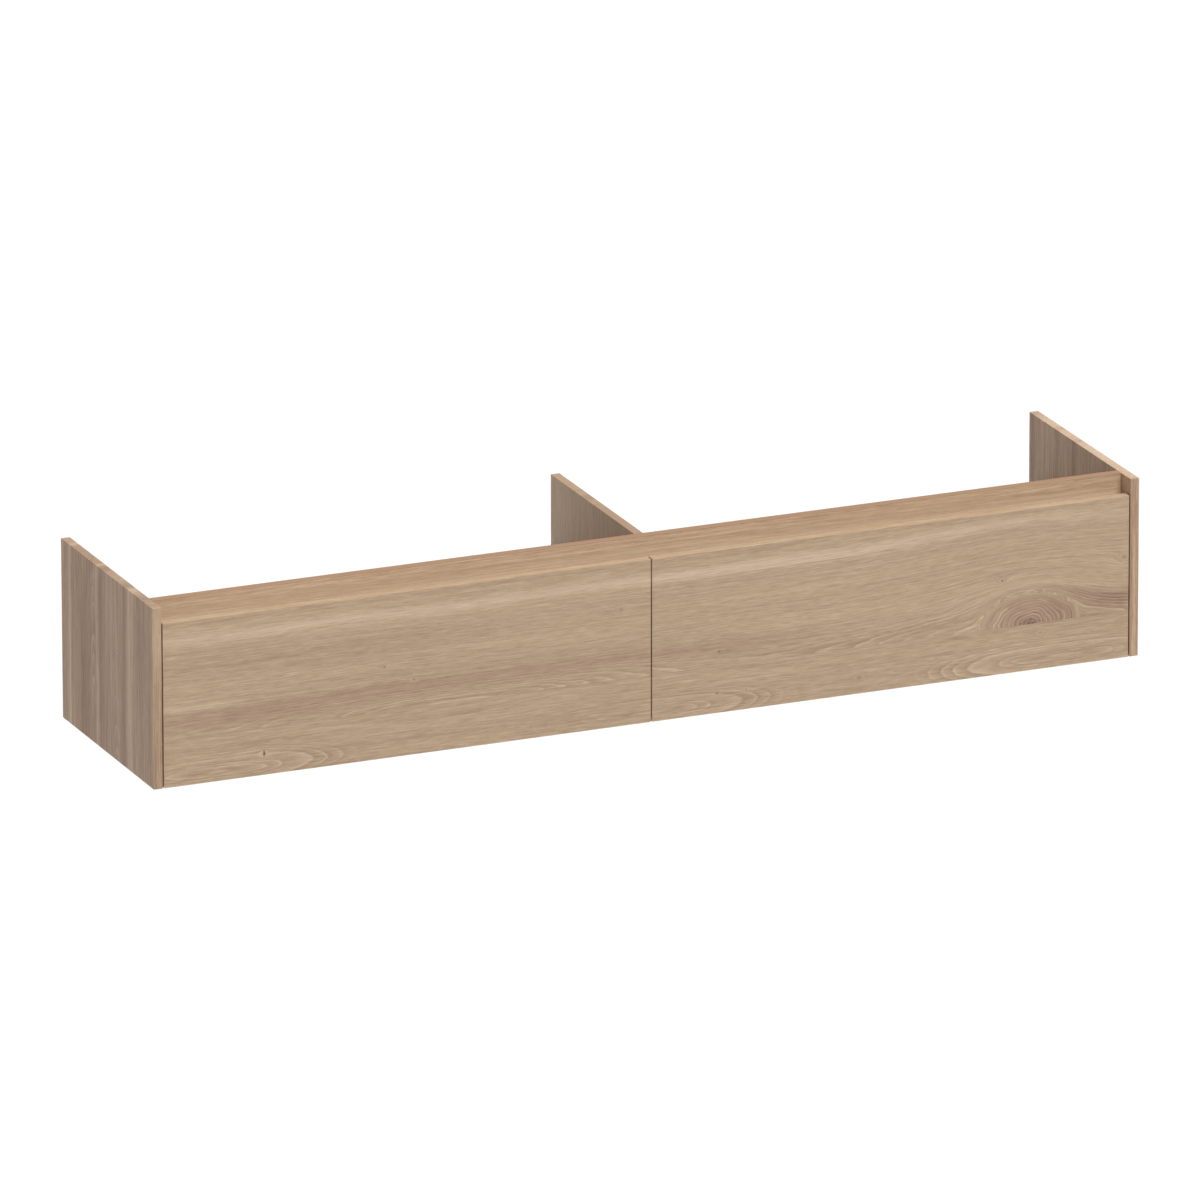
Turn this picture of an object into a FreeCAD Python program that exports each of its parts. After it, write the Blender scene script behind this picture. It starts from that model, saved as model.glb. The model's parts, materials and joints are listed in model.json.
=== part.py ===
import FreeCAD, Part
import os

# Wall-hung bathroom vanity cabinet with two handle-less drawers, in millimetres.
# X runs along the wall, the wall is the plane Y = 0 and the drawers open towards -Y.
# Heights are measured from the underside here. When the pieces are written, they are
# lowered by half the height, so the origin is on the wall, in the middle of the back.

V = FreeCAD.Vector

# Carcass
WIDTH = 2000.0
DEPTH = 460.0
HEIGHT = 352.0
BOARD = 18.0
ARRIS = 0.8
HALF = WIDTH / 2
SIDE_FACE = HALF - BOARD
MIDDLE_FACE = BOARD / 2
BAY_MIDDLE = (SIDE_FACE + MIDDLE_FACE) / 2

# Drawer fronts, finger gap and the rail behind it
FRONT_TOP = 320.0
FRONT_GAP = 2.5
CLOSED_GAP = 2.0
FRONT_BACK = -DEPTH + BOARD
CARCASS_FRONT = FRONT_BACK + CLOSED_GAP
RAIL_HEIGHT = 80.0
RAIL_FRONT = -DEPTH + 43.0
RAIL_BACK = RAIL_FRONT + BOARD
RAIL_BOTTOM = HEIGHT - RAIL_HEIGHT

# Back rails with the notch for the waste pipe
BACK_RAIL_Y = (-36.0, -18.0)
BACK_RAIL_Z = (60.0, 200.0)
PIPE_NOTCH_HALF = 80.0
PIPE_NOTCH_BOTTOM = 110.0
PIPE_NOTCH_CORNER = 20.0

# Drawer box
BOX_GAP = 5.0
BOX_BOARD = 15.0
BOX_BACK = -60.0
BOX_BOTTOM = 34.0
BOX_TOP = 214.0
FLOOR_Z = (47.0, 59.0)
GROOVE = 6.0
TRAP_HALF = 120.0
TRAP_FRONT = -300.0
TRAP_BOARD = 12.0
INNER_SIDE = (MIDDLE_FACE + BOX_GAP, MIDDLE_FACE + BOX_GAP + BOX_BOARD)
OUTER_SIDE = (SIDE_FACE - BOX_GAP - BOX_BOARD, SIDE_FACE - BOX_GAP)

# Undermount runners: heights, and distances off the wall of the bay
STEEL = 1.2
RUNNER_Z = 22.0
FLANGE_TOP = 56.0
CHANNEL = (24.0, 46.0)
CHANNEL_TOP = 36.0
SLIDER = (27.6, 42.4)
SLIDER_Z = (27.2, 41.8)
DRAWER_RAIL_Z = (38.0, FLOOR_Z[0])
CABINET_RAIL_Y = (-438.0, -38.0)
SLIDER_Y = (-420.0, -50.0)
DRAWER_RAIL_Y = (-424.0, BOX_BACK)
CAGE = (29.0, 41.0)
CAGE_Y = (-322.0, -158.0)
CAGE_THICK = 2.0
ROLLER_RADIUS = 1.7
ROLLER_PITCH = 16.0
RUNNER_SCREWS_Y = (-400.0, -240.0, -80.0)
RUNNER_SCREW_Z = 47.0

# Catches that hold a drawer on its runners, and their release levers
CATCH = (47.0, 77.0)
CATCH_Y = (-441.0, -391.0)
CATCH_Z = (36.0, FLOOR_Z[0])
LEVER = (52.0, 72.0)
LEVER_PIVOT = (-396.0, 32.75)
PIN_RADIUS = 1.5
PIN_CLEARANCE = 0.1

# Hangers and wall plates
HANGER_INSET = 45.0
HANGER_X = (MIDDLE_FACE + HANGER_INSET, SIDE_FACE - HANGER_INSET)
PLATE_HOLE_Z = 125.0
PLATE_HOLE_HALF = 18.0
PLATE_HOLE_RADIUS = 3.0
ARM_Z = (168.0, 178.0)

# Fittings
DOWEL_RADIUS = 4.0
DOWEL_IN_FACE = 11.0
DOWEL_IN_END = 19.0
DOWEL_GLUE_SPACE = 1.0
CAM_RADIUS = 7.5
CAM_DEPTH = 12.5
CAM_INSET = 24.0
SCREW_RADIUS = 1.75
SCREW_HEAD_RADIUS = 3.5
SCREW_HEAD = 1.6

BAYS = {"left": -1, "right": 1}

pieces = {}
cutters = {}


def across(wall, inward, near, far):
    """X range of a piece that reaches from near to far off an upright face at x = wall."""
    ends = (wall + inward * near, wall + inward * far)
    return min(ends), max(ends)


def block(xs, ys, zs):
    """Sharp-edged box from its three ranges."""
    return Part.makeBox(xs[1] - xs[0], ys[1] - ys[0], zs[1] - zs[0], V(xs[0], ys[0], zs[0]))


def board(xs, ys, zs, arris=ARRIS):
    """Sawn board with every edge slightly rounded."""
    raw = block(xs, ys, zs)
    return raw.makeFillet(arris, raw.Edges)


def rod(centre, axis, radius, start, end):
    """Round bar along an axis, from start to end measured from its centre point."""
    return Part.makeCylinder(radius, end - start, centre + axis * start, axis)


def extrusion(points, along):
    """Straight prism on a closed outline."""
    outline = Part.makePolygon([V(*point) for point in points + points[:1]])
    return Part.Face(outline).extrude(along)


def add(node, *solids):
    """Put solids in a node; a node with several solids is a group of like pieces."""
    pieces.setdefault(node, []).extend(solids)


def drill(cutter, *nodes):
    """Note a hole or pocket that is cut from the named nodes at the end."""
    for node in nodes:
        cutters.setdefault(node, []).append(cutter)


def dowel(group, centre, into_end, face_node, end_node):
    """Dowel across a butt joint, into_end pointing from the face into the end-grain board."""
    add(group, rod(centre, into_end, DOWEL_RADIUS, -DOWEL_IN_FACE, DOWEL_IN_END))
    hole = rod(centre, into_end, DOWEL_RADIUS,
               -DOWEL_IN_FACE - DOWEL_GLUE_SPACE, DOWEL_IN_END + DOWEL_GLUE_SPACE)
    drill(hole, face_node, end_node)


def cam_fitting(centre, into_end, towards_cam, face_node, end_node):
    """Bolt in the face board, and the cam disc that clamps its head in the end board."""
    half = BOARD / 2
    cam_centre = centre + into_end * CAM_INSET
    bolt = rod(centre, into_end, 2.5, -11.0, 0.0)
    bolt = bolt.fuse(rod(centre, into_end, 3.0, 0.0, CAM_INSET - 3.0))
    bolt = bolt.fuse(rod(centre, into_end, 3.6, CAM_INSET - 3.0, CAM_INSET)).removeSplitter()
    cam = rod(cam_centre, towards_cam, CAM_RADIUS, half - CAM_DEPTH, half - 0.3)
    cam = cam.cut(rod(centre, into_end, 3.9, 0.0, CAM_INSET + 2.0))
    turn = FreeCAD.Rotation(into_end, V(), towards_cam, "ZXY")
    slot = Part.makeBox(8.0, 1.4, 1.6, V(-4.0, -0.7, half - 1.6))
    for quarter in (0.0, 90.0):
        arm = slot.copy()
        arm.rotate(V(), V(0, 0, 1), quarter)
        arm.Placement = FreeCAD.Placement(cam_centre, turn).multiply(arm.Placement)
        cam = cam.cut(arm)
    add("carcass_cam_bolts", bolt)
    add("carcass_cam_discs", cam)
    drill(rod(centre, into_end, 2.5, -11.0, 0.0), face_node)
    drill(rod(centre, into_end, 4.0, 0.0, CAM_INSET), end_node)
    drill(rod(cam_centre, towards_cam, CAM_RADIUS, half - CAM_DEPTH, half), end_node)


def screw(group, seat, inward, length, *drilled):
    """Pan-head screw whose head sits on the seat point, with its shank going inward."""
    head = rod(seat, inward, SCREW_HEAD_RADIUS, -SCREW_HEAD, 0.0)
    shank = rod(seat, inward, SCREW_RADIUS, 0.0, length)
    recess = rod(seat, inward, 1.3, -SCREW_HEAD, -0.7)
    add(group, head.fuse(shank).cut(recess).removeSplitter())
    drill(shank, *drilled)


def make_carcass():
    """The boards that stay on the wall, and the dowels and cams that join them."""
    inside = (-SIDE_FACE, SIDE_FACE)
    add("bottom_panel", board(inside, (CARCASS_FRONT, 0.0), (0.0, BOARD)))
    add("grip_rail", board(inside, (RAIL_FRONT, RAIL_BACK), (RAIL_BOTTOM, HEIGHT)))
    add("centre_partition",
        board((-MIDDLE_FACE, MIDDLE_FACE), (CARCASS_FRONT, 0.0), (BOARD, HEIGHT)))
    drill(block((-BOARD, BOARD), (-DEPTH, RAIL_BACK), (RAIL_BOTTOM, HEIGHT + BOARD)),
          "centre_partition")
    for y in (-400.0, -230.0, -60.0):
        dowel("carcass_dowels", V(0, y, BOARD), V(0, 0, 1), "bottom_panel", "centre_partition")
    for z in (292.0, 332.0):
        dowel("carcass_dowels", V(0, RAIL_BACK, z), V(0, 1, 0), "grip_rail", "centre_partition")

    back_y = sum(BACK_RAIL_Y) / 2
    for z in (80.0, 180.0):
        long_dowel = rod(V(0, back_y, z), V(1, 0, 0), DOWEL_RADIUS, -28.0, 28.0)
        add("carcass_dowels", long_dowel)
        drill(long_dowel, "centre_partition", "left_back_rail", "right_back_rail")

    for bay, sign in BAYS.items():
        side = bay + "_side_panel"
        back_rail = bay + "_back_rail"
        inward = V(-sign, 0, 0)
        face = sign * SIDE_FACE
        add(side, board(across(0, sign, SIDE_FACE, HALF), (-DEPTH, 0.0), (0.0, HEIGHT)))
        add(back_rail, board(across(0, sign, MIDDLE_FACE, SIDE_FACE), BACK_RAIL_Y, BACK_RAIL_Z))
        drill(pipe_notch(sign), back_rail)
        for y in (-410.0, -230.0, -50.0):
            dowel("carcass_dowels", V(face, y, BOARD / 2), inward, side, "bottom_panel")
        for y in (-320.0, -140.0):
            cam_fitting(V(face, y, BOARD / 2), inward, V(0, 0, -1), side, "bottom_panel")
        rail_y = (RAIL_FRONT + RAIL_BACK) / 2
        for z in (286.0, 338.0):
            dowel("carcass_dowels", V(face, rail_y, z), inward, side, "grip_rail")
        cam_fitting(V(face, rail_y, 312.0), inward, V(0, 1, 0), side, "grip_rail")
        for z in (80.0, 180.0):
            dowel("carcass_dowels", V(face, back_y, z), inward, side, back_rail)
        cam_fitting(V(face, back_y, 105.0), inward, V(0, -1, 0), side, back_rail)


def pipe_notch(sign):
    """Round-cornered notch, open at the top, that lets the waste pipe through a back rail."""
    xs = across(0, sign, BAY_MIDDLE - PIPE_NOTCH_HALF, BAY_MIDDLE + PIPE_NOTCH_HALF)
    notch = block(xs, (BACK_RAIL_Y[0] - 1, BACK_RAIL_Y[1] + 1), (PIPE_NOTCH_BOTTOM, HEIGHT))
    low = [e for e in notch.Edges
           if abs(e.CenterOfMass.z - PIPE_NOTCH_BOTTOM) < 0.01 and abs(e.BoundBox.YLength) > 1]
    return notch.makeFillet(PIPE_NOTCH_CORNER, low)


def make_hangers():
    """Adjustable hooks behind the drawers, and the wall plates that they drop onto."""
    rail_face = BACK_RAIL_Y[0]
    for bay, sign in BAYS.items():
        back_rail = bay + "_back_rail"
        for distance in HANGER_X:
            x = sign * distance
            shell = board((x - 22, x + 22), (rail_face - 16, rail_face), (135.0, 195.0), 1.5)
            shell = shell.fuse(block((x - 31, x + 31), (rail_face - 2.5, rail_face), (145.0, 185.0)))
            pocket = block((x - 19, x + 19), (rail_face - 14, rail_face), (138.0, 192.0))
            add("hanger_housings", shell.cut(pocket).removeSplitter())
            add("hanger_hooks", extrusion([
                (x - 3, -48.0, ARM_Z[0] - 14), (x - 3, -42.0, ARM_Z[0] - 14),
                (x - 3, -42.0, ARM_Z[0]), (x - 3, -7.5, ARM_Z[0]),
                (x - 3, -7.5, ARM_Z[0] - 14), (x - 3, -3.5, ARM_Z[0] - 14),
                (x - 3, -3.5, ARM_Z[1]), (x - 3, -48.0, ARM_Z[1])], V(6, 0, 0)))
            drill(block((x - 6, x + 6), (-37.0, -17.0), (150.0, 184.0)), back_rail)
            for z in (146.0, 186.0):
                seat = V(x, rail_face - 16, z)
                adjuster = rod(seat, V(0, 1, 0), 4.5, -2.5, 0.0)
                adjuster = adjuster.fuse(rod(seat, V(0, 1, 0), 2.5, 0.0, 7.0))
                socket = rod(seat, V(0, 1, 0), 2.0, -2.5, -0.7)
                add("hanger_adjusting_screws", adjuster.cut(socket).removeSplitter())
                drill(rod(seat, V(0, 1, 0), 2.5, 0.0, 7.0), "hanger_housings")
            for offset in (-26.5, 26.5):
                screw("hanger_fixing_screws", V(x + offset, rail_face - 2.5, 165.0),
                      V(0, 1, 0), 14.0, "hanger_housings", back_rail)
            plate = extrusion([
                (x - 30, 0.0, 110.0), (x - 30, 0.0, 154.0), (x - 30, -2.5, 154.0),
                (x - 30, -8.0, 154.0), (x - 30, -8.0, ARM_Z[0]), (x - 30, -10.5, ARM_Z[0]),
                (x - 30, -10.5, 151.5), (x - 30, -2.5, 151.5), (x - 30, -2.5, 110.0)], V(60, 0, 0))
            add("wall_plates", plate)
            drill(rod(V(x - PLATE_HOLE_HALF, 0, PLATE_HOLE_Z), V(0, 1, 0),
                      PLATE_HOLE_RADIUS, -5.0, 5.0), "wall_plates")
            drill(rod(V(x + PLATE_HOLE_HALF, 0, PLATE_HOLE_Z), V(0, 1, 0),
                      PLATE_HOLE_RADIUS, -5.0, 5.0), "wall_plates")


def steel_profile(outline, wall, inward, ys):
    """Rolled steel rail: outline is (distance off the bay wall, height) pairs."""
    points = [(wall + inward * off, ys[0], z) for off, z in outline]
    return extrusion(points, V(0, ys[1] - ys[0], 0))


def roller_cage(wall, inward, height):
    """Thin plastic strip with pockets that keep a row of rollers apart."""
    half = CAGE_THICK / 2
    strip = block(across(wall, inward, *CAGE), CAGE_Y, (height - half, height + half))
    rollers = []
    count = int((CAGE_Y[1] - CAGE_Y[0]) // ROLLER_PITCH)
    first = (CAGE_Y[0] + CAGE_Y[1] - (count - 1) * ROLLER_PITCH) / 2
    for index in range(count):
        y = first + index * ROLLER_PITCH
        pocket = across(wall, inward, CAGE[0] + 1.2, CAGE[1] - 1.2)
        strip = strip.cut(block(pocket, (y - 2, y + 2), (height - 3, height + 3)))
        start = across(wall, inward, CAGE[0] + 1.5, CAGE[1] - 1.5)
        rollers.append(rod(V(start[0], y, height), V(1, 0, 0), ROLLER_RADIUS,
                           0.0, start[1] - start[0]))
    return [strip] + rollers


def make_runner(bay, which, wall, inward, board_node):
    """One undermount runner: fixed rail, sliding rail, drawer rail and two roller cages."""
    near, far = CHANNEL
    web = RUNNER_Z + STEEL
    cabinet_rail = bay + "_" + which + "_cabinet_rail"
    add(cabinet_rail, steel_profile([
        (0, RUNNER_Z), (far, RUNNER_Z), (far, CHANNEL_TOP), (far - STEEL, CHANNEL_TOP),
        (far - STEEL, web), (near + STEEL, web), (near + STEEL, CHANNEL_TOP),
        (near, CHANNEL_TOP), (near, web), (STEEL, web), (STEEL, FLANGE_TOP), (0, FLANGE_TOP)],
        wall, inward, CABINET_RAIL_Y))
    for y in RUNNER_SCREWS_Y:
        seat = V(wall + inward * STEEL, y, RUNNER_SCREW_Z)
        screw("runner_screws", seat, V(-inward, 0, 0), 9.0, cabinet_rail, board_node)

    slider = block(across(wall, inward, *SLIDER), SLIDER_Y, SLIDER_Z)
    hollow = block(across(wall, inward, SLIDER[0] + STEEL, SLIDER[1] - STEEL),
                   (SLIDER_Y[0] - 1, SLIDER_Y[1] + 1), (SLIDER_Z[0] + STEEL, SLIDER_Z[1] - STEEL))
    add(bay + "_" + which + "_sliding_rail", slider.cut(hollow))

    low, top = DRAWER_RAIL_Z
    drawer_rail = steel_profile([
        (near, low), (near + STEEL, low), (near + STEEL, top - STEEL), (far - STEEL, top - STEEL),
        (far - STEEL, low), (far, low), (far, top), (near, top)], wall, inward, DRAWER_RAIL_Y)
    hook = block(across(wall, inward, 30.0, 40.0), (BOX_BACK, BOX_BACK + STEEL), (top - STEEL, 66.0))
    add(bay + "_" + which + "_drawer_rail", drawer_rail.fuse(hook).removeSplitter())

    add(bay + "_lower_roller_cages", *roller_cage(wall, inward, (web + SLIDER_Z[0]) / 2))
    add(bay + "_upper_roller_cages", *roller_cage(wall, inward, (SLIDER_Z[1] + top - STEEL) / 2))

    damper = board(across(wall, inward, far, far + 14), (-170.0, -50.0), (23.0, 37.0), 2.0)
    plunger = rod(V(wall + inward * (far + 7), -170.0, 30.0), V(0, -1, 0), 2.0, 0.0, 34.0)
    add("soft_close_dampers", damper.fuse(plunger).removeSplitter())


def make_catch(bay, wall, inward):
    """Plastic catch under the drawer floor, with a lever that is pulled down to free it."""
    pivot_y, pivot_z = LEVER_PIVOT
    body = board(across(wall, inward, *CATCH), CATCH_Y, CATCH_Z, 1.0)
    tongue = block(across(wall, inward, 28.0, CATCH[0] + 2), (-438.0, -426.0), (42.5, 46.0))
    body = body.fuse(tongue)
    for near in (LEVER[0] - 3.4, LEVER[1] + 0.4):
        ear = block(across(wall, inward, near, near + 3), (pivot_y - 4, pivot_y + 4), (29.0, 37.0))
        body = body.fuse(ear)
    ear_span = across(wall, inward, LEVER[0] - 3.4, LEVER[1] + 3.4)
    start = V(ear_span[0], pivot_y, pivot_z)
    length = ear_span[1] - ear_span[0]
    body = body.cut(rod(start, V(1, 0, 0), PIN_RADIUS + PIN_CLEARANCE, -1.0, length + 1.0))
    add(bay + "_drawer_catches", body.removeSplitter())

    paddle = block(across(wall, inward, *LEVER), (-440.0, pivot_y), (31.0, 34.5))
    tab = block(across(wall, inward, *LEVER), (-440.0, -437.0), (28.5, 34.5))
    knuckle_span = across(wall, inward, *LEVER)
    knuckle = rod(V(knuckle_span[0], pivot_y, pivot_z), V(1, 0, 0), 2.6, 0.0,
                  knuckle_span[1] - knuckle_span[0])
    pin = rod(start, V(1, 0, 0), PIN_RADIUS, 0.0, length)
    add(bay + "_release_levers", paddle.fuse([tab, knuckle, pin]).removeSplitter())


def make_drawer(bay, sign):
    """A drawer: front, box with a recess round the trap, and everything fixed to it."""
    name = bay + "_drawer_"
    trap_near = BAY_MIDDLE - TRAP_HALF
    trap_far = BAY_MIDDLE + TRAP_HALF
    walls_z = (FLOOR_Z[1], BOX_TOP)
    back_y = (BOX_BACK - BOX_BOARD, BOX_BACK)

    add(name + "front", board(across(0, sign, FRONT_GAP / 2, SIDE_FACE - FRONT_GAP),
                              (-DEPTH, FRONT_BACK), (0.0, FRONT_TOP)))
    floor = block(across(0, sign, INNER_SIDE[1] - GROOVE, OUTER_SIDE[0] + GROOVE),
                  (FRONT_BACK, BOX_BACK), FLOOR_Z)
    recess = block(across(0, sign, trap_near, trap_far), (TRAP_FRONT, 0.0), (0.0, HEIGHT))
    add(name + "floor", floor.cut(recess))
    for which, xs in (("inner", INNER_SIDE), ("outer", OUTER_SIDE)):
        add(name + which + "_side",
            board(across(0, sign, *xs), (FRONT_BACK, BOX_BACK), (BOX_BOTTOM, BOX_TOP)))
        drill(floor, name + which + "_side")
    add(name + "inner_back",
        board(across(0, sign, INNER_SIDE[1], trap_near - TRAP_BOARD), back_y, walls_z))
    add(name + "outer_back",
        board(across(0, sign, trap_far + TRAP_BOARD, OUTER_SIDE[0]), back_y, walls_z))
    cheek_y = (TRAP_FRONT - TRAP_BOARD, BOX_BACK)
    for near in (trap_near - TRAP_BOARD, trap_far):
        add(name + "trap_cheeks", board(across(0, sign, near, near + TRAP_BOARD), cheek_y, walls_z))
    add(name + "trap_front_wall",
        board(across(0, sign, trap_near, trap_far), (TRAP_FRONT - TRAP_BOARD, TRAP_FRONT), walls_z))

    for which, wall, inward in (("inner", sign * MIDDLE_FACE, sign),
                                ("outer", sign * SIDE_FACE, -sign)):
        side = name + which + "_side"
        middle = wall + inward * (BOX_GAP + BOX_BOARD / 2)
        inner_face = wall + inward * (BOX_GAP + BOX_BOARD)
        for z in (85.0, 185.0):
            dowel(name + "dowels", V(middle, FRONT_BACK, z), V(0, 1, 0), name + "front", side)
            dowel(name + "dowels", V(inner_face, sum(back_y) / 2, z), V(inward, 0, 0),
                  side, name + which + "_back")
        make_bracket(name, side, inner_face, inward)
        make_catch(bay, wall, inward)


def make_bracket(name, side, inner_face, inward):
    """Steel angle that ties the drawer side to the front, with its four screws."""
    plan = [(0, 0), (20, 0), (20, 2), (2, 2), (2, 20), (0, 20)]
    points = [(inner_face + inward * u, FRONT_BACK + v, 110.0) for u, v in plan]
    add(name + "front_brackets", extrusion(points, V(0, 0, 50)))
    for z in (121.0, 149.0):
        on_front = V(inner_face + inward * 13, FRONT_BACK + 2, z)
        on_side = V(inner_face + inward * 2, FRONT_BACK + 13, z)
        screw(name + "bracket_screws", on_front, V(0, -1, 0), 14.0,
              name + "front_brackets", name + "front")
        screw(name + "bracket_screws", on_side, V(-inward, 0, 0), 12.0,
              name + "front_brackets", side)


def make_bumper_pads():
    """Soft discs on the carcass edges that the closed drawer fronts come to rest against."""
    thickness = CLOSED_GAP - 0.3
    for sign in BAYS.values():
        for x, z in ((40.0, BOARD / 2), (950.0, BOARD / 2), (5.0, 200.0)):
            add("bumper_pads", rod(V(sign * x, CARCASS_FRONT, z), V(0, -1, 0), 3.5, 0.0, thickness))


def write_pieces():
    """Cut the noted holes, lower the pieces to the frame's origin and write the files."""
    os.makedirs("parts", exist_ok=True)
    for node, solids in pieces.items():
        finished = []
        for solid in solids:
            near = [c for c in cutters.get(node, []) if c.BoundBox.intersect(solid.BoundBox)]
            if near:
                solid = solid.cut(near)
            finished.extend(solid.Solids)
        shape = finished[0] if len(finished) == 1 else Part.makeCompound(finished)
        shape.translate(V(0, 0, -HEIGHT / 2))
        if not shape.isValid():
            print("not valid:", node)
        shape.exportStep("parts/" + node + ".step")
    print(len(pieces), "nodes")


make_carcass()
make_hangers()
for bay_name, bay_sign in BAYS.items():
    make_runner(bay_name, "inner", bay_sign * MIDDLE_FACE, bay_sign, "centre_partition")
    make_runner(bay_name, "outer", bay_sign * SIDE_FACE, -bay_sign, bay_name + "_side_panel")
    make_drawer(bay_name, bay_sign)
make_bumper_pads()
write_pieces()
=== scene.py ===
"""Looks of the wall-hung bathroom vanity cabinet: oak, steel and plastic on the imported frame."""

import json
import math
import random

import bmesh
import bpy
from mathutils import Matrix, Vector


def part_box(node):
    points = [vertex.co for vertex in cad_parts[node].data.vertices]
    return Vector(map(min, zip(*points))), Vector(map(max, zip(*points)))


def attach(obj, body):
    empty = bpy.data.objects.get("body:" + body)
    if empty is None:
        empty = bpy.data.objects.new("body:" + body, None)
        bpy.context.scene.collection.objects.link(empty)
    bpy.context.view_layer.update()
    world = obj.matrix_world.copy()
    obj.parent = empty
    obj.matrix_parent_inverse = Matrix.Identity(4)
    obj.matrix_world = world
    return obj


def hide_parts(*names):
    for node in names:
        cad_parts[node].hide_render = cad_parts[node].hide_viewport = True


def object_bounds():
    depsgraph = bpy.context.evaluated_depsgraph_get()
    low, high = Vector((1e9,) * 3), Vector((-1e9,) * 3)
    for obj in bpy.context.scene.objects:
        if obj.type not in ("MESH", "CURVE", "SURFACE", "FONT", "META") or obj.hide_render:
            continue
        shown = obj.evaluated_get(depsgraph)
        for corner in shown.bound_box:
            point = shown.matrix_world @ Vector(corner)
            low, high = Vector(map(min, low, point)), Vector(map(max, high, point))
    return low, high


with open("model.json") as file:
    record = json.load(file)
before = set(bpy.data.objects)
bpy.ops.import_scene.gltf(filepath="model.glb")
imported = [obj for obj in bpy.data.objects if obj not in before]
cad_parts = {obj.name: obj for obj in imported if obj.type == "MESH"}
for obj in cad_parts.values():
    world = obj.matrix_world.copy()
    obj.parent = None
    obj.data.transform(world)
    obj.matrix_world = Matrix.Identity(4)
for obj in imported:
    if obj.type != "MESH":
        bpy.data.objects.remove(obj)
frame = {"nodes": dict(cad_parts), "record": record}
cad_low, cad_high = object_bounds()

# The view: nearly parallel, from the front left and above, aimed at the middle of the cabinet
VIEW_AZIMUTH = math.radians(23.104)
VIEW_ELEVATION = math.radians(18.101)
VIEW_ROLL = math.radians(-0.057)
VIEW_DISTANCE = 32.03
VIEW_LENS = 512.25
AIM_OFFSET = Vector((-0.0063, 0.0, -0.0047))

# The room
FLOOR_DROP = 1.8
FLOOR_SIZE = 90.0
SKY_COLOUR = (0.97, 0.98, 1.01)
SKY_STRENGTH = 0.30
GROUND_STRENGTH = 1.05
KEY_COLOUR = (1.0, 0.955, 0.88)
KEY_STRENGTH = 3.44
KEY_FROM = Vector((0.12, -0.32, 0.94))
KEY_SOFTNESS = math.radians(32.0)


# ---------------------------------------------------------------- shader arithmetic

class Num:
    """A number that varies over a surface, written with ordinary arithmetic."""

    def __init__(self, graph, socket):
        self.graph = graph
        self.socket = socket

    def __add__(self, other):
        return self.graph.math("ADD", self, other)

    def __sub__(self, other):
        return self.graph.math("SUBTRACT", self, other)

    def __rsub__(self, other):
        return self.graph.math("SUBTRACT", other, self)

    def __mul__(self, other):
        return self.graph.math("MULTIPLY", self, other)

    def __truediv__(self, other):
        return self.graph.math("DIVIDE", self, other)

    def __rtruediv__(self, other):
        return self.graph.math("DIVIDE", other, self)

    __radd__ = __add__
    __rmul__ = __mul__


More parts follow.
